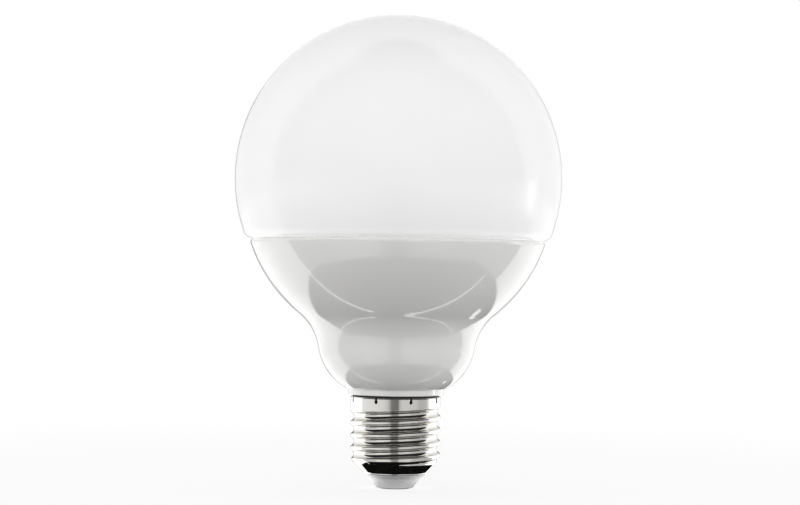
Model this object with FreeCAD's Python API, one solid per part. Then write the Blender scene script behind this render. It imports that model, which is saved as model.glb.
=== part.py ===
import FreeCAD, Part
import math
import os

from FreeCAD import Vector

# A globe bulb with a screw cap, standing on its cap. Millimetres and degrees.
# The axis of the bulb is +Z and the origin is the underside of the centre contact.
# Heights stack up from there, and each piece takes its seat from the piece that
# carries it, with a named clearance.

# The diffuser: an opal globe, cut off level and turned in at its mouth as a foot
globe_diameter = 95.0
globe_rise = 17.8
diffuser_wall = 1.6
lip_round = 2.6
foot_width = 5.5
foot_height = 2.2
foot_inner_round = 1.0

# The housing: a wide bowl, a neck that sweeps into a small bowl, and a collar
housing_height = 42.9
rim_setback = 0.95
rim_round = 1.0
bowl_radius = 44.4
bowl_rim_lean = 17.0
neck_sweep_radius = 16.0
small_bowl_radius = 15.7
small_bowl_foot_lean = 60.8
deck_height = 2.6
deck_chamfer = 0.6
deck_clearance = 0.2
collar_height = 1.9
collar_overhang = 0.8
collar_shelf = 0.95
collar_round = 0.3

# The screw shell: thin sheet, rolled into a right-hand thread of 7 turns an inch
shell_height = 22.3
collar_gap = 0.5
sheet = 0.3
rim_roll = 0.45
thread_crest_diameter = 26.1
thread_depth = 1.0
thread_pitch = 25.4 / 7
crest_flattening = 0.08
first_groove_drop = 5.1
groove_top_angle = 150.0
groove_fade_angle = 50.0
shoulder_round = 4.0
taper_angle = 45.0
shell_mouth_diameter = 18.9
mouth_lip_height = 0.35
mouth_lip_bend = 0.5

# The shell's seat on the housing, with the punched crimps that lock its rim
seat_height = 2.4
seat_step = 0.6
seat_clearance = 0.1
crimp_count = 8
crimp_first_angle = 19.5
crimp_length = 1.2
crimp_width = 0.8
crimp_depth = 0.36
crimp_tip_diameter = 1.0
crimp_tip_depth = 0.5
crimp_clearance = 0.05

# The insulator: a nose and a ledge below the shell, and a flange held inside it
nose_height = 3.05
nose_foot_diameter = 10.7
nose_top_diameter = 15.3
nose_edge_round = 0.25
ledge_height = 1.1
ledge_foot_diameter = 16.0
ledge_top_diameter = 18.7
flange_height = 3.2
flange_clearance = 0.05

# The centre contact: a nail with a flat head that stands out of the nose
contact_standout = 0.25
contact_head_diameter = 9.2
contact_head_height = 0.75
contact_head_clearance = 0.1
contact_edge_round = 0.3
contact_shank_diameter = 2.8
contact_length = 11.0
shank_clearance = 0.02
socket_clearance = 0.2

# Heights and radii that follow from the sizes above
ledge_foot_level = contact_standout + nose_height
shell_foot_level = ledge_foot_level + ledge_height
flange_top_level = shell_foot_level + flange_height
shell_rim_level = shell_foot_level + shell_height
collar_foot_level = shell_rim_level + collar_gap
collar_top_level = collar_foot_level + collar_height
seam_level = collar_top_level + housing_height
globe_centre_level = seam_level + globe_rise

globe_radius = globe_diameter / 2
seam_radius = math.sqrt(globe_radius ** 2 - globe_rise ** 2)
mouth_radius = seam_radius - foot_width
crest_radius = thread_crest_diameter / 2
root_radius = crest_radius - thread_depth
collar_radius = crest_radius + collar_overhang
contact_head_radius = contact_head_diameter / 2
shank_radius = contact_shank_diameter / 2

# How far a cutting tool reaches past what it cuts
overreach = 2.0


def at(radius, height):
    # A point in the plane that is turned about the axis.
    return Vector(radius, 0, height)


def polar(centre, radius, angle):
    # The point of a circle at an angle, measured up from straight outward.
    turn = math.radians(angle)
    return centre + at(radius * math.cos(turn), radius * math.sin(turn))


def bearing(start, end):
    return math.degrees(math.atan2(end.z - start.z, end.x - start.x))


def arc(centre, radius, first, last):
    points = [polar(centre, radius, angle) for angle in (first, (first + last) / 2, last)]
    return Part.Arc(*points).toShape()


def outline(*parts):
    # A closed outline: points and arcs in order, with straight edges wherever they don't meet.
    edges = []
    ends = [(p, p) if isinstance(p, Vector) else (p.firstVertex().Point, p.lastVertex().Point) for p in parts]
    for number, part in enumerate(parts):
        if not isinstance(part, Vector):
            edges.append(part)
        start = ends[number][1]
        end = ends[(number + 1) % len(parts)][0]
        if (end - start).Length > 1e-6:
            edges.append(Part.LineSegment(start, end).toShape())
    return Part.Wire(edges)


def turned(*parts):
    # The solid that a closed outline makes in one turn about the axis.
    return Part.Face(outline(*parts)).revolve(Vector(0, 0, 0), Vector(0, 0, 1), 360)


def disc(radius, foot, top):
    return Part.makeCylinder(radius, top - foot, at(0, foot))


def rounded(solid, radius, level, fillet):
    # Rounds the level circular edge that lies nearest to a radius and a level.
    def distance(edge):
        box = edge.BoundBox
        return abs(box.XMax - radius) + abs(box.ZMin - level) + abs(box.ZMax - level)
    return solid.makeFillet(fillet, [min(solid.Edges, key=distance)])


def nested_round(centre, radius, level, corner, side):
    # The centre of a small round inside a circle that touches both the circle and a level
    # line: above the line for a side of 1, and below it for -1.
    height = level + side * corner
    return at(centre.x + math.sqrt((radius - corner) ** 2 - (height - centre.z) ** 2), height)


def diffuser_dome():
    centre = at(0, globe_centre_level)
    inner_radius = globe_radius - diffuser_wall
    foot_top = seam_level + foot_height
    lip = nested_round(centre, globe_radius, seam_level, lip_round, 1)
    inner_corner = nested_round(centre, inner_radius, foot_top, foot_inner_round, 1)
    return turned(
        arc(centre, globe_radius, 90, bearing(centre, lip)),
        arc(lip, lip_round, bearing(centre, lip), -90),
        at(mouth_radius, seam_level),
        at(mouth_radius, foot_top),
        arc(inner_corner, foot_inner_round, -90, bearing(centre, inner_corner)),
        arc(centre, inner_radius, bearing(centre, inner_corner), 90),
    )


def neck_sweep_centre(bowl, small_bowl):
    # The hollow sweep touches both bowls, so its centre is one sweep radius clear of each.
    to_bowl = bowl_radius + neck_sweep_radius
    to_small_bowl = small_bowl_radius + neck_sweep_radius
    between = small_bowl - bowl
    along = (to_bowl ** 2 - to_small_bowl ** 2 + between.Length ** 2) / (2 * between.Length)
    across = math.sqrt(to_bowl ** 2 - along ** 2)
    direction = between / between.Length
    outward = at(-direction.z, direction.x)
    return bowl + direction * along + outward * across


def lower_housing():
    rim = at(seam_radius - rim_setback, seam_level)
    bowl = polar(rim, -bowl_radius, -bowl_rim_lean)
    rim_corner = nested_round(bowl, bowl_radius, seam_level, rim_round, -1)
    collar_corner = at(collar_radius - collar_round, collar_foot_level + collar_round)
    shelf = at(collar_radius + collar_shelf, collar_top_level)
    small_bowl = polar(shelf, -small_bowl_radius, -small_bowl_foot_lean)
    sweep = neck_sweep_centre(bowl, small_bowl)
    deck_radius = mouth_radius - deck_clearance
    deck_level = seam_level + deck_height
    seat_radius = crest_radius - rim_roll - seat_clearance
    seat_level = shell_rim_level - seat_height
    spigot_radius = root_radius - sheet - seat_clearance
    socket_radius = shank_radius + socket_clearance
    socket_top = contact_length + socket_clearance
    housing = turned(
        at(0, deck_level),
        at(deck_radius - deck_chamfer, deck_level),
        at(deck_radius, deck_level - deck_chamfer),
        at(deck_radius, seam_level),
        arc(rim_corner, rim_round, 90, bearing(bowl, rim_corner)),
        arc(bowl, bowl_radius, bearing(bowl, rim_corner), bearing(bowl, sweep)),
        arc(sweep, neck_sweep_radius, bearing(bowl, sweep) + 180, bearing(small_bowl, sweep) + 180),
        arc(small_bowl, small_bowl_radius, bearing(small_bowl, sweep), -small_bowl_foot_lean),
        at(collar_radius, collar_top_level),
        arc(collar_corner, collar_round, 0, -90),
        at(seat_radius, collar_foot_level),
        at(seat_radius, seat_level),
        at(spigot_radius, seat_level - seat_step),
        at(spigot_radius, flange_top_level),
        at(socket_radius, flange_top_level),
        at(socket_radius, socket_top),
        at(0, socket_top),
    )
    return housing.cut(crimps(sheet + crimp_clearance))


def shell_blank(inset):
    # The outside of the shell as a turned solid, before its thread, drawn in by an inset.
    # The rim is rolled inward. The shoulder's arc touches the upright wall and the taper, and
    # the taper turns down into the lip round the shell's mouth. An inset blank runs on past
    # both ends.
    half_taper = math.tan(math.radians(taper_angle) / 2)
    mouth = shell_mouth_diameter / 2 - inset
    roll = at(crest_radius - rim_roll, shell_rim_level - rim_roll)
    run = (crest_radius - shell_mouth_diameter / 2) / math.tan(math.radians(taper_angle))
    taper_foot = shell_foot_level + mouth_lip_height
    shoulder = at(crest_radius - shoulder_round, taper_foot + run + shoulder_round * half_taper)
    bend = at(shell_mouth_diameter / 2 + mouth_lip_bend, taper_foot - mouth_lip_bend * half_taper)
    reach = overreach if inset else 0
    return turned(
        at(0, shell_rim_level + reach),
        at(roll.x, shell_rim_level + reach),
        arc(roll, rim_roll - inset, 90, 0),
        arc(shoulder, shoulder_round - inset, 0, -taper_angle),
        arc(bend, mouth_lip_bend + inset, 180 - taper_angle, 180),
        at(mouth, shell_foot_level - reach),
        at(0, shell_foot_level - reach),
    )


def groove_section(inset):
    # The cut that leaves the thread standing: a hollow arc at the root between two crest arcs.
    # They have one radius, found from the pitch and the depth, so that they meet smoothly.
    # An inset moves the section in square to itself, for the inside of the sheet.
    half_pitch = thread_pitch / 2
    depth = thread_depth + crest_flattening
    wave = (half_pitch ** 2 + depth ** 2) / (4 * depth)
    root = at(root_radius + wave, 0)
    crest = at(crest_radius + crest_flattening - wave, half_pitch)
    lower_crest = at(crest.x, -crest.z)
    swing = bearing(crest, root)
    opening = -math.degrees(math.acos((wave - inset - crest_flattening / 2) / (wave - inset)))
    outside = crest_radius + overreach
    upper_arc = arc(crest, wave - inset, opening, swing)
    root_arc = arc(root, wave + inset, 180 + swing, 180 - swing)
    lower_arc = arc(lower_crest, wave - inset, -swing, -opening)
    edge = upper_arc.firstVertex().Point.z
    return outline(upper_arc, root_arc, lower_arc, at(outside, -edge), at(outside, edge))


def brought_round(place, angle):
    # A point of the turned plane, brought round from the front of the bulb towards its right.
    return FreeCAD.Rotation(Vector(0, 0, 1), angle - 90).multVec(place)


def groove(inset):
    # The section led up a right-hand helix, from below the shoulder, where it has run out, to
    # above the first full turn. At its top it swings out, so that the groove fades away.
    points_per_turn = 36
    fineness = 0.005
    fade_distance = thread_depth + 3 * crest_flattening
    first_level = shell_rim_level - first_groove_drop
    foot_angle = (shell_foot_level + mouth_lip_height - first_level) / thread_pitch * 360
    count = round((groove_top_angle - foot_angle) / 360 * points_per_turn)
    places = []
    for number in range(count + 1):
        angle = foot_angle + (groove_top_angle - foot_angle) * number / count
        fade = max(0, 1 - (groove_top_angle - angle) / groove_fade_angle)
        place = at(root_radius + fade_distance * fade ** 2, first_level + thread_pitch * angle / 360)
        places.append(brought_round(place, angle))
    path = Part.BSplineCurve()
    path.interpolate(places)
    section = groove_section(inset)
    section.translate(at(0, first_level + thread_pitch * foot_angle / 360))
    section.rotate(Vector(0, 0, 0), Vector(0, 0, 1), foot_angle - 90)
    cut = Part.BRepOffsetAPI.MakePipeShell(Part.Wire(path.toShape()))
    cut.setBiNormalMode(Vector(0, 0, 1))
    cut.setMaxDegree(3)
    cut.setMaxSegments(400)
    cut.setTolerance(fineness, fineness, 2 * fineness)
    cut.add(section, False, False)
    cut.build()
    cut.makeSolid()
    return cut.shape()


def crimps(inset):
    # The punch marks: an upright slot that runs down from the rim, with a deeper tip.
    slot_radius = crimp_width / 2 + inset
    tip_radius = crimp_tip_diameter / 2 + inset
    slot_place = crest_radius - crimp_depth + crimp_width / 2
    tip_place = crest_radius - crimp_tip_depth + crimp_tip_diameter / 2
    foot = shell_rim_level - crimp_length
    marks = []
    for number in range(crimp_count):
        slot = Part.makeCylinder(slot_radius, collar_foot_level - foot, at(slot_place, foot))
        tip = Part.makeSphere(tip_radius, at(tip_place, foot))
        mark = slot.fuse(tip)
        mark.rotate(Vector(0, 0, 0), Vector(0, 0, 1), crimp_first_angle - 90 + number * 360 / crimp_count)
        marks.append(mark)
    return marks


def threaded(inset):
    return shell_blank(inset).cut([groove(inset)] + crimps(inset))


def screw_shell():
    return threaded(0).cut(threaded(sheet))


def insulator():
    ledge_top = shell_foot_level - flange_clearance
    nose = turned(
        at(0, contact_standout),
        at(nose_foot_diameter / 2, contact_standout),
        at(nose_top_diameter / 2, ledge_foot_level),
        at(ledge_foot_diameter / 2, ledge_foot_level),
        at(ledge_top_diameter / 2, ledge_top),
        at(0, ledge_top),
    )
    nose = rounded(nose, nose_foot_diameter / 2, contact_standout, nose_edge_round)
    # The flange fills the inside of the taper and stays inside the thread's root.
    room = disc(root_radius - sheet - flange_clearance, ledge_top, flange_top_level)
    flange = shell_blank(sheet + flange_clearance).common(room)
    body = nose.fuse(flange).removeSplitter()
    seat = disc(contact_head_radius + contact_head_clearance, -overreach, contact_head_height)
    bore = disc(shank_radius + shank_clearance, -overreach, flange_top_level + overreach)
    return body.cut([seat, bore])


def centre_contact():
    head = rounded(disc(contact_head_radius, 0, contact_head_height), contact_head_radius, 0, contact_edge_round)
    shank = disc(shank_radius, contact_head_height / 2, contact_length)
    return head.fuse(shank).removeSplitter()


pieces = {
    "diffuser_dome": diffuser_dome,
    "lower_housing": lower_housing,
    "screw_shell": screw_shell,
    "insulator": insulator,
    "centre_contact": centre_contact,
}

os.makedirs("parts", exist_ok=True)
for name, make in pieces.items():
    piece = make()
    piece.exportStep(f"parts/{name}.step")
    box = piece.optimalBoundingBox(True, False)
    state = "valid" if piece.isValid() else "not valid"
    print(name, len(piece.Solids), "solid,", state, round(piece.Volume, 1), "mm3, from", round(box.ZMin, 2),
          "to", round(box.ZMax, 2), "high,", round(box.XLength, 2), "wide")
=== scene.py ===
import math

import bpy
import numpy as np
from mathutils import Matrix, Vector


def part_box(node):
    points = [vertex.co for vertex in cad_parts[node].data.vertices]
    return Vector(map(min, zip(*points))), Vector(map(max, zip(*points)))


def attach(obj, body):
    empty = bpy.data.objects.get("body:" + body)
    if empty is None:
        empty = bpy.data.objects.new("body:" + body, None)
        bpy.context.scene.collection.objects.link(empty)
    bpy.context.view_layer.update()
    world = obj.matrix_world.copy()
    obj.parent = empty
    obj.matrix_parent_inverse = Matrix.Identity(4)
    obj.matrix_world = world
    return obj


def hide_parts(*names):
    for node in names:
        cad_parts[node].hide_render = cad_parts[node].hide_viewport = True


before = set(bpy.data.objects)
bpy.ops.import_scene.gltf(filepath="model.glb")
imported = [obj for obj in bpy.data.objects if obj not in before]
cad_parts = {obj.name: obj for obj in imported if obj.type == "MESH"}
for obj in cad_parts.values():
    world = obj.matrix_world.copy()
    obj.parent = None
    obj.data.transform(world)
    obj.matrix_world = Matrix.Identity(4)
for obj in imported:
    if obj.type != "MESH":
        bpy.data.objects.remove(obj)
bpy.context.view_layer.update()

mm = 0.001
black = (0, 0, 0, 1)
white = (1, 1, 1, 1)
print("frame loaded:", sorted(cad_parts))


# shader maths: a socket that takes part in sums, and one way to make any other node

class Wire:
    def __init__(self, nodes, socket):
        self.nodes = nodes
        self.socket = socket

    def __add__(self, other):
        return self.nodes.sum("ADD", self, other)

    def __radd__(self, other):
        return self.nodes.sum("ADD", other, self)

    def __sub__(self, other):
        return self.nodes.sum("SUBTRACT", self, other)

    def __rsub__(self, other):
        return self.nodes.sum("SUBTRACT", other, self)

    def __mul__(self, other):
        return self.nodes.sum("MULTIPLY", self, other)

    def __rmul__(self, other):
        return self.nodes.sum("MULTIPLY", other, self)

    def __truediv__(self, other):
        return self.nodes.sum("DIVIDE", self, other)

    def __rtruediv__(self, other):
        return self.nodes.sum("DIVIDE", other, self)


class Nodes:
    def __init__(self, tree):
        self.tree = tree

    # settings first, then the values or wires of the sockets; gives back the output asked for
    def make(self, kind, settings=None, sockets=None, output=0):
        node = self.tree.nodes.new(kind)
        for name, value in (settings or {}).items():
            setattr(node, name, value)
        for name, value in (sockets or {}).items():
            self.join(value, self.pick(node.inputs, name))
        return Wire(self, self.pick(node.outputs, output)) if len(node.outputs) else node

    def sum(self, operation, first, second):
        return self.make("ShaderNodeMath", {"operation": operation}, {0: first, 1: second})

    def limit(self, value):
        return self.make("ShaderNodeClamp", {}, {"Value": value})

    def attribute(self, name):
        return self.make("ShaderNodeAttribute", {"attribute_name": name}, output="Fac")

    def objectPlace(self):
        return self.make("ShaderNodeTexCoord", output="Object")

    # a socket by its number, or the one in use of those that share a name
    def pick(self, sockets, name):
        if isinstance(name, int):
            return sockets[name]
        return next(socket for socket in sockets if socket.name == name and socket.enabled)

    def join(self, value, socket):
        if isinstance(value, Wire):
            self.tree.links.new(value.socket, socket)
        else:
            socket.default_value = value


class Finish(Nodes):
    def __init__(self, name, constants):
        self.material = bpy.data.materials.new(name)
        self.material.use_nodes = True
        super().__init__(self.material.node_tree)
        self.shader = self.tree.nodes["Principled BSDF"]
        self.feed(constants)

    def feed(self, sockets):
        for name, value in sockets.items():
            self.join(value, self.shader.inputs[name])

    def noise(self, place, scale, detail=2.0):
        return self.make("ShaderNodeTexNoise", {}, {"Vector": place, "Scale": scale, "Detail": detail})

    def stretched(self, place, factors):
        return self.make("ShaderNodeVectorMath", {"operation": "MULTIPLY"}, {0: place, 1: factors})

    # the height of a place on the object
    def level(self, place):
        return self.make("ShaderNodeSeparateXYZ", {}, {"Vector": place}, output="Z")

    def blend(self, factor, first, second):
        return self.make("ShaderNodeMix", {"data_type": "RGBA"}, {
            "Factor": factor, "A": first, "B": second,
        }, output="Result")

    # the bump's strength and distance stand in the look of the piece
    def bump(self, height, look):
        return self.make("ShaderNodeBump", {}, {
            "Height": height, "Strength": look["bumpStrength"], "Distance": look["bumpDistance"],
        }, output="Normal")


# outlines in the turned plane: x is the radius and y the height

samePlace = 1e-7        # metres: points closer than this are one
sharpAngle = 30.0       # degrees: edges that turn by more than this stay sharp
fewestSteps = 2         # of any arc, however short


def polar(centre, radius, angle):
    turn = math.radians(angle)
    return Vector((centre.x + radius * math.cos(turn), centre.y + radius * math.sin(turn)))


def bearing(start, end):
    return math.degrees(math.atan2(end.y - start.y, end.x - start.x))


def arcPoints(centre, radius, first, last, step):
    count = max(fewestSteps, math.ceil(abs(last - first) / step))
    return [polar(centre, radius, first + (last - first) * i / count) for i in range(count + 1)]


# centre of a small round inside a circle, which touches the circle and a level line below or above it
def nestedRound(centre, radius, level, corner, side):
    height = level + side * corner
    reach = math.sqrt((radius - corner) ** 2 - (height - centre.y) ** 2)
    return Vector((centre.x + reach, height))


def tidyOutline(points):
    kept = [points[0]]
    for point in points[1:]:
        if (point - kept[-1]).length > samePlace:
            kept.append(point)
    return kept


# a closed form turned about the axis; points on the axis close with a fan
def turnPiece(name, points, segments):
    points = tidyOutline(points)
    rings = []
    corners = []
    for point in points:
        if abs(point.x) < samePlace:
            rings.append([len(corners)])
            corners.append((0, 0, point.y))
            continue
        ring = []
        for i in range(segments):
            turn = 2 * math.pi * i / segments
            ring.append(len(corners))
            corners.append((point.x * math.cos(turn), point.x * math.sin(turn), point.y))
        rings.append(ring)
    faces = []
    pairs = list(zip(rings, rings[1:]))
    if len(rings[0]) > 1:
        pairs.append((rings[-1], rings[0]))
    for lower, upper in pairs:
        for i in range(segments):
            j = (i + 1) % segments
            if len(lower) == 1 and len(upper) == 1:
                continue
            if len(lower) == 1:
                faces.append((lower[0], upper[j], upper[i]))
            elif len(upper) == 1:
                faces.append((lower[i], lower[j], upper[0]))
            else:
                faces.append((lower[i], lower[j], upper[j], upper[i]))
    return finishMesh(name, corners, faces)


def finishMesh(name, corners, faces, sharp=sharpAngle):
    mesh = bpy.data.meshes.new(name)
    mesh.from_pydata(corners, [], faces)
    mesh.shade_smooth()
    mesh.set_sharp_from_angle(angle=math.radians(sharp))
    piece = bpy.data.objects.new(name, mesh)
    bpy.context.scene.collection.objects.link(piece)
    return piece


# a number for each point, which a finish or a card reads by its name
def pointNumbers(piece, name, values):
    piece.data.attributes.new(name, "FLOAT", "POINT").data.foreach_set("value", values)


def dress(piece, node, finish):
    piece.data.materials.append(finish.material)
    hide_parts(node)
    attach(piece, "root")
    print("made", piece.name, len(piece.data.polygons), "faces")


# the diffuser: a thin opal globe, cut off level, with a rolled lip and a turned-in foot

dome = {
    "wall": 1.6 * mm,
    "lipRound": 2.6 * mm,
    "footWidth": 5.5 * mm,
    "footHeight": 2.2 * mm,
    "footInnerRound": 1.0 * mm,
    "segments": 288,
    "arcStep": 1.5,
    "footStep": 12.0,
    "lipStep": 6.0,
    # opal plastic: near white, a little cloudy, with a painted glow at its lip that stands in for the light
    # it carries
    "look": {
        "ior": 1.49,
        "scatterShare": 0.2,
        "scatterReach": (4 * mm, 4 * mm, 4 * mm),
        "cloudScale": 22.0,
        "grainScale": 2600.0,
        "greyer": (0.94, 0.94, 0.94, 1),
        "whiter": (0.96, 0.96, 0.957, 1),
        "roughness": 0.10,
        "grainRoughness": 0.04,
        "paintedLipGlow": 0.26,
        "paintedGlowHeight": 3.0 * mm,
        "paintedGlowColour": (1, 1, 0.99, 1),
        "bumpStrength": 0.03,
        "bumpDistance": 0.02 * mm,
    },
}

domeLow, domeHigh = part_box("diffuser_dome")
globeRadius = domeHigh.x
globeCentre = Vector((0, domeHigh.z - globeRadius))
seamLevel = domeLow.z
seamRadius = math.sqrt(globeRadius ** 2 - (globeCentre.y - seamLevel) ** 2)
mouthRadius = seamRadius - dome["footWidth"]


def diffuserOutline():
    size = dome
    step = size["arcStep"]
    innerRadius = globeRadius - size["wall"]
    footTop = seamLevel + size["footHeight"]
    lip = nestedRound(globeCentre, globeRadius, seamLevel, size["lipRound"], 1)
    inner = nestedRound(globeCentre, innerRadius, footTop, size["footInnerRound"], 1)
    return [
        *arcPoints(globeCentre, innerRadius, 90, bearing(globeCentre, inner), step),
        *arcPoints(inner, size["footInnerRound"], bearing(globeCentre, inner), -90, size["footStep"]),
        Vector((mouthRadius, footTop)),
        Vector((mouthRadius, seamLevel)),
        *arcPoints(lip, size["lipRound"], -90, bearing(globeCentre, lip), size["lipStep"]),
        *arcPoints(globeCentre, globeRadius, bearing(globeCentre, lip), 90, step),
    ]


def opalPlastic():
    look = dome["look"]
    finish = Finish("opalPlastic", {
        "IOR": look["ior"], "Subsurface Weight": look["scatterShare"], "Subsurface Scale": 1.0,
        "Subsurface Radius": look["scatterReach"], "Emission Strength": look["paintedLipGlow"],
    })
    place = finish.objectPlace()
    cloud = finish.noise(place, look["cloudScale"])
    grain = finish.noise(place, look["grainScale"])
    # painted glow: an emission near the lip, fading up from the seam, that stands in for light carried
    # through the opal
    paintedGlowShare = finish.limit(1 - (finish.level(place) - seamLevel) / look["paintedGlowHeight"])
    finish.feed({
        "Base Color": finish.blend(cloud, look["greyer"], look["whiter"]),
        "Roughness": look["roughness"] + look["grainRoughness"] * grain,
        "Emission Color": finish.blend(paintedGlowShare * paintedGlowShare, black, look["paintedGlowColour"]),
        "Normal": finish.bump(grain, look),
    })
    return finish


# the housing: bowl, neck sweep, small bowl and collar in one moulding, with a deck inside the foot

housing = {
    "rimSetback": 0.95 * mm,
    "rimRound": 1.0 * mm,
    "bowlRadius": 44.4 * mm,
    "bowlRimLean": 17.0,
    "neckSweepRadius": 16.0 * mm,
    "smallBowlRadius": 15.7 * mm,
    "smallBowlFootLean": 60.8,
    "deckClearance": 0.2 * mm,
    "deckChamfer": 0.6 * mm,
    "collarHeight": 1.9 * mm,
    "collarOverhang": 0.8 * mm,
    "collarShelf": 0.95 * mm,
    "collarRound": 0.3 * mm,
    "collarGap": 0.5 * mm,
    "shelfRound": 0.25 * mm,
    "seatHeight": 2.4 * mm,
    "seatStep": 0.6 * mm,
    "seatClearance": 0.1 * mm,
    "segments": 288,
    "arcStep": 1.5,
    "tightArcStep": 3.0,
    "rimStep": 8.0,
    "cornerStep": 12.0,
    # white moulding under a clear gloss, with painted shade in the gap over the shell's rim
    "look": {
        "ior": 1.55,
        "coatIor": 1.6,
        "coatRoughness": 0.03,
        "cloudScale": 30.0,
        "grainScale": 1800.0,
        "grainDetail": 3.0,
        "flowScale": 60.0,
        "flowStretch": (1, 1, 0.25),
        "greyer": (0.705, 0.702, 0.687, 1),
        "whiter": (0.735, 0.732, 0.717, 1),
        "paintedGapShade": (0.012, 0.012, 0.012, 1),
        "gapMargin": 0.01 * mm,
        "roughness": 0.1,
        "grainRoughness": 0.06,
        "gapRoughness": 0.5,
        "coat": 0.85,
        "flowCoat": 0.15,
        "flowBump": 0.6,
        "bumpStrength": 0.035,
        "bumpDistance": 0.02 * mm,
    },
}

shellLow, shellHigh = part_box("screw_shell")
crestRadius = shellHigh.x
rimLevel = shellHigh.z
shellFootLevel = shellLow.z
housingLow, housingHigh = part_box("lower_housing")


def neckSweepCentre(bowl, smallBowl):
    size = housing
    toBowl = size["bowlRadius"] + size["neckSweepRadius"]
    toSmallBowl = size["smallBowlRadius"] + size["neckSweepRadius"]
    between = smallBowl - bowl
    along = (toBowl ** 2 - toSmallBowl ** 2 + between.length ** 2) / (2 * between.length)
    across = math.sqrt(toBowl ** 2 - along ** 2)
    direction = between.normalized()
    return bowl + direction * along + Vector((-direction.y, direction.x)) * across


def housingOutline():
    size = housing
    collarRadius = crestRadius + size["collarOverhang"]
    collarFoot = rimLevel + size["collarGap"]
    collarTop = collarFoot + size["collarHeight"]
    deckRadius = mouthRadius - size["deckClearance"]
    deckLevel = housingHigh.z
    chamfer = size["deckChamfer"]
    rim = Vector((seamRadius - size["rimSetback"], seamLevel))
    bowl = polar(rim, -size["bowlRadius"], -size["bowlRimLean"])
    shelf = Vector((collarRadius + size["collarShelf"], collarTop))
    smallBowl = polar(shelf, -size["smallBowlRadius"], -size["smallBowlFootLean"])
    sweep = neckSweepCentre(bowl, smallBowl)
    rimCorner = nestedRound(bowl, size["bowlRadius"], seamLevel, size["rimRound"], -1)
    shelfCorner = nestedRound(smallBowl, size["smallBowlRadius"], collarTop, size["shelfRound"], 1)
    collarCorner = Vector((collarRadius - size["collarRound"], collarFoot + size["collarRound"]))
    seatRadius = crestRadius - shell["rimRoll"] - size["seatClearance"]
    spigotRadius = crestRadius - shell["threadDepth"] - shell["sheet"] - size["seatClearance"]
    seatFoot = rimLevel - size["seatHeight"]
    return [
        Vector((0, deckLevel)),
        Vector((deckRadius - chamfer, deckLevel)),
        Vector((deckRadius, deckLevel - chamfer)),
        Vector((deckRadius, seamLevel)),
        *arcPoints(rimCorner, size["rimRound"], 90, bearing(bowl, rimCorner), size["rimStep"]),
        *arcPoints(bowl, size["bowlRadius"], bearing(bowl, rimCorner),
                   bearing(bowl, sweep), size["arcStep"]),
        *arcPoints(sweep, size["neckSweepRadius"], bearing(bowl, sweep) + 180,
                   bearing(smallBowl, sweep) + 180, size["tightArcStep"]),
        *arcPoints(smallBowl, size["smallBowlRadius"], bearing(smallBowl, sweep),
                   bearing(smallBowl, shelfCorner), size["tightArcStep"]),
        *arcPoints(shelfCorner, size["shelfRound"], bearing(smallBowl, shelfCorner),
                   -90, size["cornerStep"]),
        Vector((collarRadius, collarTop)),
        *arcPoints(collarCorner, size["collarRound"], 0, -90, size["cornerStep"]),
        Vector((seatRadius, collarFoot)),
        Vector((seatRadius, seatFoot)),
        Vector((spigotRadius, seatFoot - size["seatStep"])),
        Vector((spigotRadius, housingLow.z)),
        Vector((0, housingLow.z)),
    ]


def housingPlastic():
    look = housing["look"]
    finish = Finish("housingPlastic", {
        "IOR": look["ior"], "Coat IOR": look["coatIor"], "Coat Roughness": look["coatRoughness"],
    })
    place = finish.objectPlace()
    cloud = finish.noise(place, look["cloudScale"])
    grain = finish.noise(place, look["grainScale"], look["grainDetail"])
    flow = finish.noise(finish.stretched(place, look["flowStretch"]), look["flowScale"])
    moulded = finish.blend(cloud, look["greyer"], look["whiter"])
    # painted shade: below the collar's foot the moulding is coloured near black, duller and without its
    # coat, as the gap over the shell's rim is in shade
    gapLevel = rimLevel + housing["collarGap"] - look["gapMargin"]
    inPaintedShade = finish.sum("LESS_THAN", finish.level(place), gapLevel)
    finish.feed({
        "Base Color": finish.blend(inPaintedShade, moulded, look["paintedGapShade"]),
        "Roughness": look["roughness"] + look["grainRoughness"] * grain + look["gapRoughness"] * inPaintedShade,
        "Coat Weight": (look["coat"] + look["flowCoat"] * flow) * (1 - inPaintedShade),
        "Normal": finish.bump(grain + look["flowBump"] * flow, look),
    })
    return finish


# the screw shell: thin sheet with a plain band, punched crimps, a rolled thread and a taper

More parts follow.
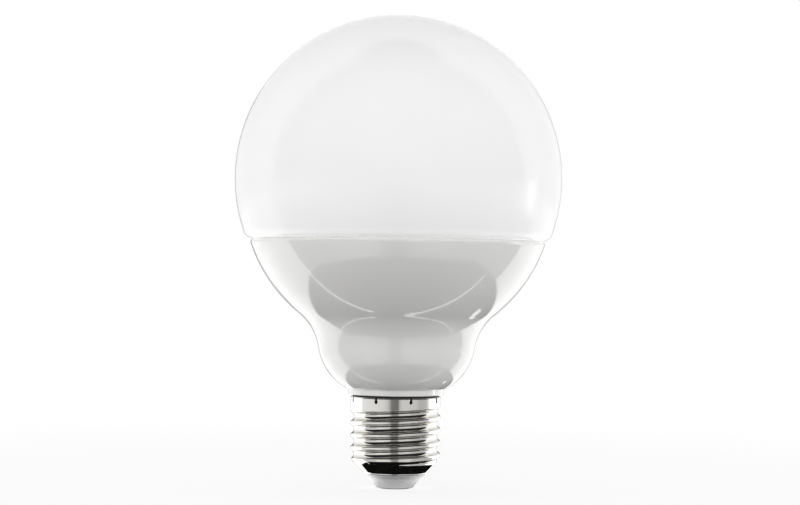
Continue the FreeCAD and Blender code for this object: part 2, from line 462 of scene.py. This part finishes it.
shell = {
    "sheet": 0.3 * mm,
    "threadDepth": 1.0 * mm,
    "threadPitch": 25.4 * mm / 7,
    "crestFlattening": 0.08 * mm,    # the crest's arc would rise this much above the plain band
    "rootShare": 0.62,               # the root's radius as a share of the root's and the crest's together
    "firstGrooveDrop": 5.1 * mm,     # from the rim to the groove's floor, at the front
    "grooveTopAngle": 150.0,         # from the front to where the groove has run out at its upper end
    "grooveFadeAngle": 50.0,
    "fadeMargin": 0.24 * mm,         # the end of the groove lies this far outside the band
    "shoulderRound": 4.0 * mm,
    "taperAngle": 45.0,
    "mouthDiameter": 18.9 * mm,
    "lipHeight": 0.35 * mm,
    "lipBend": 0.5 * mm,
    "lipBead": 0.03 * mm,
    "rimRoll": 0.45 * mm,
    "edgeSoftness": 0.1 * mm,
    "crimp": {
        "count": 8,
        "firstAngle": 19.5,
        "length": 1.2 * mm,
        "width": 0.8 * mm,
        "depth": 0.36 * mm,
        "tipDiameter": 1.0 * mm,
        "tipDepth": 0.5 * mm,
        "softness": 0.08 * mm,
    },
    "mesh": {
        "rowStep": 0.12 * mm,
        "innerRowStep": 0.32 * mm,
        "rollRows": 8,
        "columnStep": 0.33 * mm,
        # to both sides of a punch mark's middle
        "columnsAtCrimp": [offset * mm for offset in (0.0, 0.1, 0.2, 0.3, 0.4, 0.5, 0.62, 0.8)],
        "slopeStep": 0.01 * mm,
        "sharpAngle": 50.0,
    },
    # bright plate, with painted shade in the punch marks and darker painted shade on the thread's flanks
    # where they lean up or down
    "look": {
        "drawnScale": 420.0,
        "drawnDetail": 3.0,
        "drawnStretch": (1, 1, 9),
        "cloudScale": 160.0,
        "greyer": (0.83, 0.81, 0.77, 1),
        "whiter": (0.90, 0.88, 0.84, 1),
        "paintedFlankShade": (0.58, 0.565, 0.53, 1),
        "plainLean": 0.35,               # how far its normal rises where the painted flank shade starts
        "flankLean": 0.75,               # and where that painted shade is darkest
        "paintedPitShade": (0.04, 0.035, 0.03, 1),
        "brightDepth": 0.02 * mm,        # pressed in by less than this it has no painted shade
        "darkDepth": 0.06 * mm,          # and this much deeper the painted shade is darkest
        "roughness": 0.04,
        "drawnRoughness": 0.04,
        "pressedRoughness": 0.25,
        "bumpStrength": 0.05,
        "bumpDistance": 0.02 * mm,
    },
}


# the lower of two surfaces, with the corner between them rounded off
def softLower(first, second, softness):
    closeness = np.clip(0.5 + 0.5 * (second - first) / softness, 0, 1)
    mixed = second * (1 - closeness) + first * closeness
    return mixed - softness * closeness * (1 - closeness)


# radius of the turned sheet at each height, its outside or, with an inset, its inside
def blankRadius(height, inset):
    size = shell
    mouth = size["mouthDiameter"] / 2
    taper = math.radians(size["taperAngle"])
    taperFoot = shellFootLevel + size["lipHeight"]
    run = (crestRadius - mouth) / math.tan(taper)
    shoulder = Vector((crestRadius - size["shoulderRound"],
                       taperFoot + run + size["shoulderRound"] * math.tan(taper / 2)))
    bulge = size["shoulderRound"] - inset
    below = np.clip(shoulder.y - height, 0, bulge)
    onShoulder = shoulder.x + np.sqrt(bulge ** 2 - below ** 2)
    onTaper = mouth + (height - taperFoot) * math.tan(taper) - inset / math.cos(taper)
    bend = Vector((mouth + size["lipBend"], taperFoot - size["lipBend"] * math.tan(taper / 2)))
    hollow = size["lipBend"] + inset
    above = np.clip(height - bend.y, 0, hollow * math.sin(taper))
    onBend = bend.x - np.sqrt(hollow ** 2 - above ** 2)
    roll = size["rimRoll"] - inset
    past = np.clip(height - rimLevel + size["rimRoll"], 0, roll)
    onRoll = crestRadius - size["rimRoll"] + np.sqrt(roll ** 2 - past ** 2)
    upLip = np.clip((height - shellFootLevel) / size["lipHeight"], 0, 1)
    onLip = size["lipBead"] * np.sin(math.pi * upLip) if inset == 0 else 0
    radius = np.where(height > shoulder.y - bulge * math.sin(taper), onShoulder, onTaper)
    radius = np.where(height < bend.y + hollow * math.sin(taper), onBend + onLip, radius)
    return np.where(past > 0, onRoll, radius)


# radius of the groove's floor and flanks for each angle from the front and each height:
# an arc at the root and one at the crest, which touch on the flank
def grooveRadius(angle, height, inset):
    size = shell
    pitch = size["threadPitch"]
    halfPitch = pitch / 2
    depth = size["threadDepth"] + size["crestFlattening"]
    bothWaves = (halfPitch ** 2 + depth ** 2) / (2 * depth)
    rootWave = bothWaves * size["rootShare"]
    crestWave = bothWaves - rootWave
    rootRadius = crestRadius - size["threadDepth"]
    firstLevel = rimLevel - size["firstGrooveDrop"]
    wrapped = (angle + 180) % 360 - 180
    turns = np.round((height - firstLevel) / pitch - wrapped / 360)
    turns = np.minimum(turns, np.floor((size["grooveTopAngle"] - wrapped) / 360))
    along = wrapped + 360 * turns
    across = np.abs(height - firstLevel - pitch * along / 360)
    swing = halfPitch / bothWaves
    rootReach = np.clip(across, 0, (rootWave + inset) * swing)
    root = rootRadius + rootWave - np.sqrt((rootWave + inset) ** 2 - rootReach ** 2)
    crestReach = np.clip(halfPitch - across, 0, (crestWave - inset) * swing)
    crestMiddle = crestRadius + size["crestFlattening"] - crestWave
    crest = crestMiddle + np.sqrt((crestWave - inset) ** 2 - crestReach ** 2)
    crest = np.where(across > halfPitch, crestRadius + across, crest)
    fade = np.clip(1 - (size["grooveTopAngle"] - along) / size["grooveFadeAngle"], 0, 1)
    fadeDistance = size["threadDepth"] + size["fadeMargin"]
    return np.where(across < (rootWave + inset) * swing, root, crest) + fadeDistance * fade ** 2


# radius of the punch marks, or a wide radius away from them
def crimpRadius(angle, height, inset):
    size = shell["crimp"]
    spacing = 360 / size["count"]
    fromMark = (angle - size["firstAngle"] + spacing / 2) % spacing - spacing / 2
    across = np.radians(fromMark) * crestRadius
    below = rimLevel - size["length"] - height
    wide = 2 * crestRadius
    half = size["width"] / 2
    slotPlace = crestRadius - size["depth"] + half
    slot = slotPlace - np.sqrt(np.clip((half + inset) ** 2 - across ** 2, 0, None))
    slot = np.where((np.abs(across) < half + inset) & (below < 0), slot, wide)
    tip = size["tipDiameter"] / 2
    tipPlace = crestRadius - size["tipDepth"] + tip
    reach = (tip + inset) ** 2 - across ** 2 - below ** 2
    point = np.where(reach > 0, tipPlace - np.sqrt(np.clip(reach, 0, None)), wide)
    return np.minimum(slot, point)


def threadedRadius(angle, height, inset):
    return softLower(blankRadius(height, inset), grooveRadius(angle, height, inset),
                     shell["edgeSoftness"])


def shellRadius(angle, height, inset):
    return softLower(threadedRadius(angle, height, inset), crimpRadius(angle, height, inset),
                     shell["crimp"]["softness"])


# how far the outside is pressed in at each point, as the share of painted shade: from 0 on the bright plate
# to 1 where the shade is darkest
def pressedShare(angles, heights):
    grid, level = np.meshgrid(angles, heights)
    depth = threadedRadius(grid, level, 0) - shellRadius(grid, level, 0)
    look = shell["look"]
    return np.clip((depth - look["brightDepth"]) / look["darkDepth"], 0, 1)


# how far the outside leans at each normal, from 0 on the plain band to 1 on a flank, as the share of
# painted flank shade
def leaningShare(normals):
    plain = shell["look"]["plainLean"]
    flank = shell["look"]["flankLean"]
    return np.clip((np.abs(normals[..., 2]) - plain) / (flank - plain), 0, 1)


# columns of the mesh: close together at each punch mark, wider between
def shellColumns():
    crimp = shell["crimp"]
    halfSector = math.pi * crestRadius / crimp["count"]
    offsets = list(shell["mesh"]["columnsAtCrimp"])
    plain = math.ceil((halfSector - offsets[-1]) / shell["mesh"]["columnStep"])
    step = (halfSector - offsets[-1]) / plain
    offsets += [offsets[-1] + step * i for i in range(1, plain + 1)]
    sector = [-offset for offset in offsets[:0:-1]] + offsets[:-1]
    spacing = 360 / crimp["count"]
    middles = [crimp["firstAngle"] + spacing * i for i in range(crimp["count"])]
    turns = [math.degrees(offset / crestRadius) for offset in sector]
    return np.array([middle + turn for middle in middles for turn in turns])


# rows of the mesh up to the rim's roll, and then evenly round the roll
def shellRows(step, inset):
    rollFoot = rimLevel - shell["rimRoll"]
    count = math.ceil((rollFoot - shellFootLevel) / step)
    roll = (shell["rimRoll"] - inset) * np.sin(np.linspace(0, math.pi / 2, shell["mesh"]["rollRows"]))
    return np.concatenate([np.linspace(shellFootLevel, rollFoot, count + 1), rollFoot + roll[1:]])


# a grid of points and their normals on one face of the sheet
def shellGrid(angles, heights, inset):
    grid, level = np.meshgrid(angles, heights)
    small = shell["mesh"]["slopeStep"]
    turn = math.degrees(small / crestRadius)
    radius = shellRadius(grid, level, inset)
    slopeRound = shellRadius(grid + turn, level, inset) - shellRadius(grid - turn, level, inset)
    slopeUp = shellRadius(grid, level + small, inset) - shellRadius(grid, level - small, inset)
    direction = np.radians(grid - 90)
    outward = np.stack([np.cos(direction), np.sin(direction), np.zeros_like(grid)], -1)
    sideways = np.stack([-np.sin(direction), np.cos(direction), np.zeros_like(grid)], -1)
    upward = np.array([0.0, 0.0, 1.0])
    normal = outward - (sideways * slopeRound[..., None] + upward * slopeUp[..., None]) / (2 * small)
    normal /= np.linalg.norm(normal, axis=-1, keepdims=True)
    return outward * radius[..., None] + upward * level[..., None], -normal if inset else normal


def shellPiece():
    angles = shellColumns()
    sheet = shell["sheet"]
    mesh = shell["mesh"]
    outerRows = shellRows(mesh["rowStep"], 0)
    outside, outsideNormal = shellGrid(angles, outerRows, 0)
    inside, insideNormal = shellGrid(angles, shellRows(mesh["innerRowStep"], sheet), sheet)
    places = np.concatenate([outside, inside[::-1]])
    normals = np.concatenate([outsideNormal, insideNormal[::-1]])
    rows, columns = places.shape[:2]
    lower = np.arange(rows * columns).reshape(rows, columns)
    upper = np.roll(lower, -1, axis=0)
    quads = np.stack([lower, np.roll(lower, -1, 1), np.roll(upper, -1, 1), upper], -1).reshape(-1, 4)
    piece = finishMesh("screwCap", places.reshape(-1, 3).tolist(), quads.tolist(), mesh["sharpAngle"])
    shares = {"pressed": pressedShare(angles, outerRows), "leaning": leaningShare(outsideNormal)}
    for name, share in shares.items():
        values = np.zeros((rows, columns))
        values[:len(outside)] = share
        pointNumbers(piece, name, values.ravel())
    cutEdges = [0, len(outside) - 1, len(outside), rows - 1]
    normals[cutEdges] = 0        # the sheet's cut edges keep the mesh's own normals
    piece.data.normals_split_custom_set_from_vertices(normals.reshape(-1, 3).tolist())
    return piece


def nickelPlate():
    look = shell["look"]
    finish = Finish("nickelPlate", {"Metallic": 1.0})
    place = finish.objectPlace()
    drawn = finish.noise(finish.stretched(place, look["drawnStretch"]),
                         look["drawnScale"], look["drawnDetail"])
    cloud = finish.noise(place, look["cloudScale"])
    # painted shade: the punch marks are coloured near black by how far they are pressed in
    pressed = finish.attribute("pressed")
    bright = finish.blend(cloud, look["greyer"], look["whiter"])
    # painted shade: the leaning flanks get a darker colour that stands in for the dark they reflect
    plate = finish.blend(finish.attribute("leaning"), bright, look["paintedFlankShade"])
    finish.feed({
        "Base Color": finish.blend(pressed, plate, look["paintedPitShade"]),
        "Roughness": (look["roughness"] + look["drawnRoughness"] * drawn
                      + look["pressedRoughness"] * pressed),
        "Normal": finish.bump(drawn + cloud, look),
    })
    return finish


# the insulator: a moulded nose and ledge under the shell, and its flange inside

insulator = {
    "noseHeight": 3.05 * mm,
    "noseFootDiameter": 10.7 * mm,
    "noseTopDiameter": 15.3 * mm,
    "noseEdgeRound": 0.25 * mm,
    "ledgeFootDiameter": 16.0 * mm,
    "ledgeTopDiameter": 18.7 * mm,
    "clearance": 0.05 * mm,
    "headClearance": 0.1 * mm,
    "boreRadius": 1.42 * mm,
    "cornerStep": 12.0,
    "flangeRows": 14,
    "segments": 192,
    # grey moulding, dull and finely grained
    "look": {
        "ior": 1.5,
        "cloudScale": 250.0,
        "grainScale": 5200.0,
        "greyer": (0.575, 0.575, 0.58, 1),
        "whiter": (0.625, 0.625, 0.63, 1),
        "roughness": 0.42,
        "grainRoughness": 0.12,
        "bumpStrength": 0.12,
        "bumpDistance": 0.03 * mm,
    },
}

contact = {
    "headHeight": 0.75 * mm,
    "edgeRound": 0.3 * mm,
    "shankRadius": 1.4 * mm,
    "cornerStep": 10.0,
    "segments": 128,
    # plated metal with fine rings from turning
    "look": {
        "ringScale": 900.0,
        "ringDetail": 3.0,
        "ringStretch": (1, 1, 6),
        "greyer": (0.70, 0.68, 0.63, 1),
        "whiter": (0.80, 0.78, 0.74, 1),
        "roughness": 0.2,
        "ringRoughness": 0.12,
        "bumpStrength": 0.1,
        "bumpDistance": 0.02 * mm,
    },
}

insulatorLow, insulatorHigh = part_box("insulator")
contactLow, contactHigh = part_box("centre_contact")


# the nose's slanted side meets its level foot in a small round
def noseFootPoints(size, foot):
    top = Vector((size["noseTopDiameter"] / 2, foot + size["noseHeight"]))
    start = Vector((size["noseFootDiameter"] / 2, foot))
    lean = bearing(start, top)
    corner = size["noseEdgeRound"]
    reach = corner * math.tan(math.radians(lean) / 2)
    centre = Vector((start.x - reach, foot + corner))
    return [*arcPoints(centre, corner, -90, lean - 90, size["cornerStep"]), top]


def insulatorOutline():
    size = insulator
    foot = insulatorLow.z
    ledgeTop = shellFootLevel - size["clearance"]
    top = insulatorHigh.z
    inset = shell["sheet"] + size["clearance"]
    room = crestRadius - shell["threadDepth"] - inset
    heights = np.linspace(shellFootLevel, top, size["flangeRows"])
    flange = [Vector((min(float(radius), room), float(height)))
              for radius, height in zip(blankRadius(heights, inset), heights)]
    headRoom = contactHigh.x + size["headClearance"]
    seatLevel = contact["headHeight"]
    return [
        Vector((size["boreRadius"], top)),
        Vector((size["boreRadius"], seatLevel)),
        Vector((headRoom, seatLevel)),
        Vector((headRoom, foot)),
        *noseFootPoints(size, foot),
        Vector((size["ledgeFootDiameter"] / 2, foot + size["noseHeight"])),
        Vector((size["ledgeTopDiameter"] / 2, ledgeTop)),
        Vector((flange[0].x, ledgeTop)),
        *flange,
    ]


def insulatorPlastic():
    look = insulator["look"]
    finish = Finish("insulatorPlastic", {"IOR": look["ior"]})
    place = finish.objectPlace()
    cloud = finish.noise(place, look["cloudScale"])
    grain = finish.noise(place, look["grainScale"])
    finish.feed({
        "Base Color": finish.blend(cloud, look["greyer"], look["whiter"]),
        "Roughness": look["roughness"] + look["grainRoughness"] * grain,
        "Normal": finish.bump(grain, look),
    })
    return finish


def contactOutline():
    size = contact
    head = contactHigh.x
    corner = Vector((head - size["edgeRound"], contactLow.z + size["edgeRound"]))
    return [
        Vector((0, contactLow.z)),
        *arcPoints(corner, size["edgeRound"], -90, 0, size["cornerStep"]),
        Vector((head, size["headHeight"])),
        Vector((size["shankRadius"], size["headHeight"])),
        Vector((size["shankRadius"], contactHigh.z)),
        Vector((0, contactHigh.z)),
    ]


def contactMetal():
    look = contact["look"]
    finish = Finish("contactMetal", {"Metallic": 1.0})
    place = finish.objectPlace()
    rings = finish.noise(finish.stretched(place, look["ringStretch"]),
                         look["ringScale"], look["ringDetail"])
    finish.feed({
        "Base Color": finish.blend(rings, look["greyer"], look["whiter"]),
        "Roughness": look["roughness"] + look["ringRoughness"] * rings,
        "Normal": finish.bump(rings, look),
    })
    return finish


dress(turnPiece("opalGlobe", diffuserOutline(), dome["segments"]),
      "diffuser_dome", opalPlastic())
dress(turnPiece("steppedHousing", housingOutline(), housing["segments"]),
      "lower_housing", housingPlastic())
dress(shellPiece(), "screw_shell", nickelPlate())
dress(turnPiece("capInsulator", insulatorOutline(), insulator["segments"]),
      "insulator", insulatorPlastic())
dress(turnPiece("contactNail", contactOutline(), contact["segments"]),
      "centre_contact", contactMetal())


# the studio: a pale floor that only the camera sees, soft light all round, and far cards for the gloss

studio = {
    "floorHalf": 4.0,
    "floorColour": (0.95, 0.95, 0.95, 1),
    "glowNear": 0.8,            # share of plain white in the floor below the bulb
    "glowReach": 0.3,           # and how far from it the floor is all white
    "roomLevel": 0.45,          # light on the bulb from past all the cards
    "tentRadius": 1.1,
    "tentHeight": 1.1,
    "columns": 720,
    "underLevel": -0.2 * mm,
    "underInner": 8 * mm,
    "capReach": 26 * mm,
}

frontLamp = {
    "watts": 5.9,
    "distance": 1.0,
    "height": 0.19,
    "width": 1.0,
    "depth": 0.5,
}

# soft light round the bulb: degrees from the camera, towards its right, and the level there
tentLevels = [
    (-180, 0.75), (-140, 0.95), (-100, 1.2), (-70, 0.85), (0, 0.66), (70, 0.85), (100, 1.1), (140, 0.9),
    (180, 0.75),
]

# soft light from below, mostly from both sides
underLevels = [
    (-180, 0.6), (-140, 0.95), (-100, 1.4), (-80, 1.2), (-55, 0.5), (-30, 0.1), (30, 0.1), (55, 0.5),
    (80, 1.2), (100, 1.4), (140, 0.95), (180, 0.6),
]

# the same close under the cap, for the insulator's lighter sides
capLevels = [
    (-180, 1.0), (-120, 3.0), (-80, 3.0), (-50, 1.0), (-25, 0.02), (25, 0.02), (50, 0.9), (80, 2.6),
    (120, 2.6), (180, 1.0),
]


class StageFinish(Nodes):
    def __init__(self, name):
        self.material = bpy.data.materials.new(name)
        self.material.use_nodes = True
        super().__init__(self.material.node_tree)
        self.tree.nodes.clear()

    def show(self, surface):
        self.make("ShaderNodeOutputMaterial", {}, {"Surface": surface})

    def glow(self, strength):
        return self.make("ShaderNodeEmission", {}, {"Color": white, "Strength": strength})


# 1 for what the camera sees, straight, in a gloss or through glass, and 0 for light on its way round
def seenRay(nodes):
    rays = [nodes.make("ShaderNodeLightPath", output=name)
            for name in ("Is Camera Ray", "Is Glossy Ray", "Is Transmission Ray")]
    first = nodes.sum("MAXIMUM", rays[0], rays[1])
    return nodes.sum("MAXIMUM", first, rays[2])


# the floor takes the shadow, and lets light from below and the far cards through to the bulb
def paleFloor():
    half = studio["floorHalf"]
    corners = [(-half, -half, 0), (half, -half, 0), (half, half, 0), (-half, half, 0)]
    floor = finishMesh("paleFloor", corners, [(0, 1, 2, 3)])
    finish = StageFinish("paleFloor")
    plain = finish.make("ShaderNodeBsdfDiffuse", {}, {"Color": studio["floorColour"]})
    away = finish.make("ShaderNodeVectorMath", {"operation": "LENGTH"}, {0: finish.objectPlace()},
                       output="Value")
    fade = finish.limit(away / studio["glowReach"])
    share = studio["glowNear"] + (1 - studio["glowNear"]) * fade
    finish.show(finish.make("ShaderNodeMixShader", {}, {0: share, 1: plain, 2: finish.glow(1.0)}))
    floor.data.materials.append(finish.material)
    floor.visible_diffuse = False
    floor.visible_glossy = False
    floor.visible_shadow = False


def whiteRoom():
    world = bpy.data.worlds.new("whiteRoom")
    world.use_nodes = True
    world.node_tree.nodes.clear()
    nodes = Nodes(world.node_tree)
    seen = seenRay(nodes)
    level = seen + (1 - seen) * studio["roomLevel"]
    light = nodes.make("ShaderNodeBackground", {}, {"Color": white, "Strength": level})
    nodes.make("ShaderNodeOutputWorld", {}, {"Surface": light})
    bpy.context.scene.world = world


# where a radius lies at an azimuth, counted from the camera towards its right
def roundPlace(radius, azimuth, height):
    turn = math.radians(azimuth)
    return (radius * math.sin(turn), -radius * math.cos(turn), height)


# a card that gives light, with one level or one for each corner
def glowingCard(name, corners, faces, levels):
    card = finishMesh(name, corners, faces)
    pointNumbers(card, "level", np.full(len(corners), levels, dtype=float))
    finish = StageFinish(name)
    finish.show(finish.glow(finish.attribute("level")))
    card.data.materials.append(finish.material)
    card.visible_camera = False
    card.visible_shadow = False
    return card


# azimuths at even steps, all the way round or from one to another
def evenAzimuths(first=-180, last=180, columns=studio["columns"]):
    return np.linspace(first, last, columns + 1)


# the level at each azimuth, on straight lines between the stops
def levelsAt(azimuths, stops):
    return np.interp(azimuths, *zip(*stops))


# a wall or a flat ring round the axis, from one radius and height to another, with one level or
# one for each azimuth
def glowingBand(name, foot, top, azimuths, levels):
    columns = len(azimuths)
    corners = [roundPlace(radius, azimuth, height)
               for radius, height in (foot, top) for azimuth in azimuths]
    faces = [(i, i + 1, columns + i + 1, columns + i) for i in range(columns - 1)]
    return glowingCard(name, corners, faces, np.full((2, columns), levels, dtype=float).ravel())


# light that falls on the bulb and doesn't show in its gloss
def softBand(name, foot, top, stops):
    azimuths = evenAzimuths()
    glowingBand(name, foot, top, azimuths, levelsAt(azimuths, stops)).visible_glossy = False


def softLight():
    radius = studio["tentRadius"]
    under = studio["underLevel"]
    softBand("softTent", (radius, 0), (radius, studio["tentHeight"]), tentLevels)
    softBand("capLight", (studio["underInner"], under), (studio["capReach"], under), capLevels)
    softBand("underLight", (studio["capReach"], under), (radius, under), underLevels)


# a wide soft lamp behind the camera and higher, which doesn't show in the gloss
def softLamp():
    data = bpy.data.lights.new("frontLamp", "AREA")
    data.shape = "RECTANGLE"
    data.size = frontLamp["width"]
    data.size_y = frontLamp["depth"]
    data.energy = frontLamp["watts"]
    lamp = bpy.data.objects.new("frontLamp", data)
    bpy.context.scene.collection.objects.link(lamp)
    place = Vector((0, -frontLamp["distance"], frontLamp["height"]))
    aim = Vector((0, 0, globeCentre.y)) - place
    lamp.matrix_world = Matrix.Translation(place) @ aim.to_track_quat("-Z", "Y").to_matrix().to_4x4()
    lamp.visible_glossy = False
    lamp.visible_camera = False


# what the gloss shows: side panels, a darker front, and cards far below
shine = {
    "wallTop": 1.5,
    "wallRadius": 1.1,
    "depth": 3.0,
    "reach": 4.0,                # this and the far cards' places are shares of their depth
    "layer": 2 * mm,
    "flagRadius": 1.05,
    "flagHalfAngle": 95.0,
    "flagFoot": 0.06,
    "flagTop": 3.0,
    "flagTone": 0.02,
    "sideTone": 1.55,
    "farWallLift": 1.35,         # of the near wall's level, beyond the angle below
    "farWallLeast": 0.5,
    "liftAngle": 96.0,
    "darkTone": 0.004,
    "frontInner": 0.9,
    "lineTone": 2.6,
    "lineBack": 0.2,
    "lineSpans": [(-1.14, -0.2), (0.07, 1.14)],
    "lineHalfWidth": 0.013,
    "spotTone": 1.9,
    "spotPlace": (0.72, 1.08),
    "spotHalfSize": (0.05, 0.1),
    "stripTone": 3.0,
    "stripAngles": (100.0, 109.0),
    "stripColumns": 8,
    "stripFoot": -0.12,
    "stripTop": 0.085,
    "backGapTop": 0.3,           # the wall's dark gap at the back is no higher than this
    "backGapAngle": 158.0,
    "backGapTone": 1.0,
    "shadeRadius": 16 * mm,
    "shadeAngles": (-75.0, 125.0),
    "shadeColumns": 36,
}

# levels of the walls and of the far card in front, at azimuths counted as for the soft light
wallLevels = [
    (-180, 0.12), (-166, 0.15), (-160, 1.0), (-112, 1.05), (-98, 1.0), (-93, 0.88), (-80, 0.84),
    (-55, 0.79), (-32, 0.73), (-21, 0.62), (-15, 0.42), (-10, 0.2), (6, 0.17), (9, 0.42), (14, 0.6),
    (21, 0.65), (43, 0.63), (55, 0.61), (62, 0.5), (80, 0.5), (88, 0.6), (94, 1.0), (112, 1.14),
    (150, 1.12), (160, 1.05), (166, 0.45), (180, 0.4),
]
frontLevels = [
    (-98, 0.5), (-59, 0.6), (-52, 0.85), (-16, 0.75), (-10, 0.3), (8, 0.3), (12, 0.65), (44, 0.7),
    (50, 0.5), (80, 0.5), (116, 0.5),
]

# the dark card's edge: azimuth and reach; it runs back between the side panels
darkEdge = [
    (-174, 3.0), (-169, 2.04), (-150, 1.42), (-136, 1.22), (-118, 1.12), (-100, 1.14), (-80, 1.12),
    (-53, 0.99), (-27, 0.97), (0, 0.96), (31, 0.98), (62, 1.09), (80, 1.25), (112, 1.34), (122, 1.39),
    (134, 1.52), (143, 1.68), (153, 2.0), (168, 3.0), (174, 3.9),
]


# a card that shows only in glossy surfaces
def glossOnly(card):
    card.visible_diffuse = False
    card.visible_transmission = False


def glossBand(name, foot, top, azimuths, levels):
    glossOnly(glowingBand(name, foot, top, azimuths, levels))


# cards far below lie one above another: a higher layer covers a lower one
def farLevel(layer):
    return -shine["depth"] + layer * shine["layer"]


def farPatch(name, layer, places, tone):
    depth = shine["depth"]
    corners = [(across * depth, back * depth, farLevel(layer)) for across, back in places]
    glossOnly(glowingCard(name, corners, [tuple(range(len(corners)))], tone))


def boxPlaces(middle, half):
    return [(middle[0] + across * half[0], middle[1] + back * half[1])
            for across, back in ((-1, -1), (1, -1), (1, 1), (-1, 1))]


def farCards():
    size = shine
    edge = size["reach"] * size["depth"]
    inner = size["frontInner"] * size["depth"]
    inFront = evenAzimuths(frontLevels[0][0], frontLevels[-1][0])
    glossBand("sideCard", (0, farLevel(0)), (edge, farLevel(0)), evenAzimuths(), size["sideTone"])
    glossBand("frontCard", (inner, farLevel(1)), (edge, farLevel(1)), inFront,
              levelsAt(inFront, frontLevels))
    farPatch("darkCard", 2, [roundPlace(reach, azimuth, 0)[:2] for azimuth, reach in darkEdge],
             size["darkTone"])
    for i, (left, right) in enumerate(size["lineSpans"]):
        line = boxPlaces(((left + right) / 2, size["lineBack"]),
                         ((right - left) / 2, size["lineHalfWidth"]))
        farPatch(f"lineCard{i}", 3, line, size["lineTone"])
    farPatch("spotCard", 3, boxPlaces(size["spotPlace"], size["spotHalfSize"]), size["spotTone"])


def glossWalls():
    size = shine
    around = evenAzimuths()
    levels = levelsAt(around, wallLevels)
    radius = size["wallRadius"]
    edge = size["reach"] * size["depth"]
    gapTop = (radius, size["backGapTop"])
    glossBand("nearWall", (radius, 0), gapTop, around, levels)
    closed = np.where(np.abs(around) > size["backGapAngle"], size["backGapTone"], levels)
    glossBand("upperWall", gapTop, (radius, size["wallTop"]), around, closed)
    lifted = np.maximum(size["farWallLift"] * levels, size["farWallLeast"])
    lifted = np.where(np.abs(around) > size["liftAngle"], lifted, levels)
    glossBand("farWall", (edge, -size["depth"]), (edge, 0), around, lifted)
    flag = size["flagRadius"]
    flagTop = (flag, size["flagTop"])
    inFront = evenAzimuths(-size["flagHalfAngle"], size["flagHalfAngle"])
    glossBand("frontFlag", (flag, size["flagFoot"]), flagTop, inFront, size["flagTone"])
    glossBand("ceilingFlag", (0, size["flagTop"]), flagTop, around, size["flagTone"])
    under = studio["underLevel"]
    underCap = evenAzimuths(*size["shadeAngles"], size["shadeColumns"])
    glossBand("capShade", (0, under), (size["shadeRadius"], under), underCap, size["darkTone"])
    strip = evenAzimuths(*size["stripAngles"], size["stripColumns"])
    glossBand("stripCard", (flag, size["stripFoot"]), (flag, size["stripTop"]), strip, size["stripTone"])


paleFloor()
whiteRoom()
softLight()
softLamp()
farCards()
glossWalls()
print("studio ready")


# the camera: level with the housing's bowl, looking up a little, and rolled as the picture was

viewPoint = {
    "lens": 99.0,
    "sensorWidth": 36.0,
    "distance": 0.64,
    "height": 60.7 * mm,
    "lookUp": 0.69,
    "turnRight": 0.062,
    "roll": 0.72,
}


def studioCamera():
    data = bpy.data.cameras.new("studioCamera")
    data.lens = viewPoint["lens"]
    data.sensor_width = viewPoint["sensorWidth"]
    camera = bpy.data.objects.new("studioCamera", data)
    bpy.context.scene.collection.objects.link(camera)
    camera.matrix_world = (
        Matrix.Translation((0, -viewPoint["distance"], viewPoint["height"]))
        @ Matrix.Rotation(math.radians(-viewPoint["turnRight"]), 4, "Z")
        @ Matrix.Rotation(math.radians(90 + viewPoint["lookUp"]), 4, "X")
        @ Matrix.Rotation(math.radians(viewPoint["roll"]), 4, "Z")
    )
    bpy.context.scene.camera = camera


studioCamera()
bpy.context.scene.view_settings.view_transform = "Standard"

bpy.context.view_layer.update()
